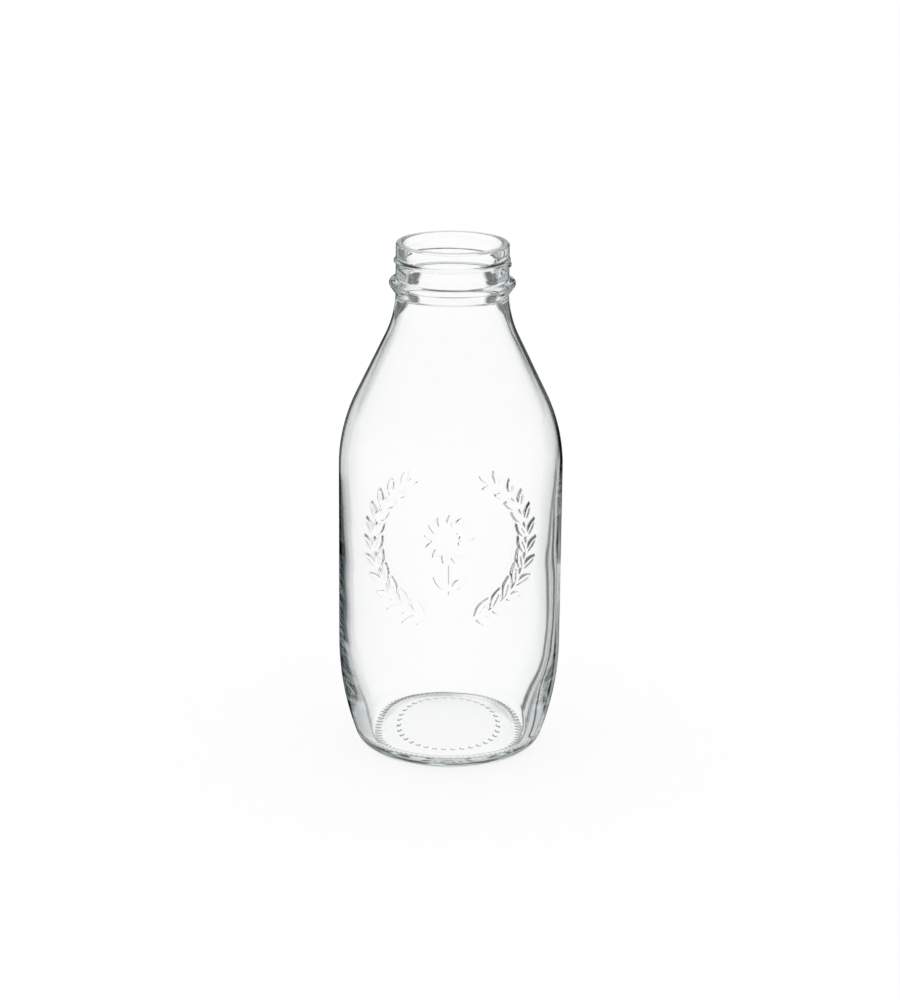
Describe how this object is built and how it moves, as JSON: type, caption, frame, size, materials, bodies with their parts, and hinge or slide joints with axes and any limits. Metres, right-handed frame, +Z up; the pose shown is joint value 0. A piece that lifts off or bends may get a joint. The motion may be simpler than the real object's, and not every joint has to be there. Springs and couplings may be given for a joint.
{
  "type": "glass milk bottle",
  "caption": "Clear round glass bottle for milk: domed base, straight body, long sloping shoulder and a wide open neck with a transfer bead and a screw finish for a lid.",
  "frame": {"origin": "centre of the base, on the surface that the bottle stands on", "axes": "+Z up the bottle's axis, towards the mouth; -Y is the side that faces the viewer"},
  "size_m": [0.0956, 0.0956, 0.222],
  "materials": {
    "glass": "clear soda-lime glass, blown in a mould, fire-polished at the lip"
  },
  "bodies": {
    "root": {"glass_bottle": "glass"}
  },
  "joints": []
}
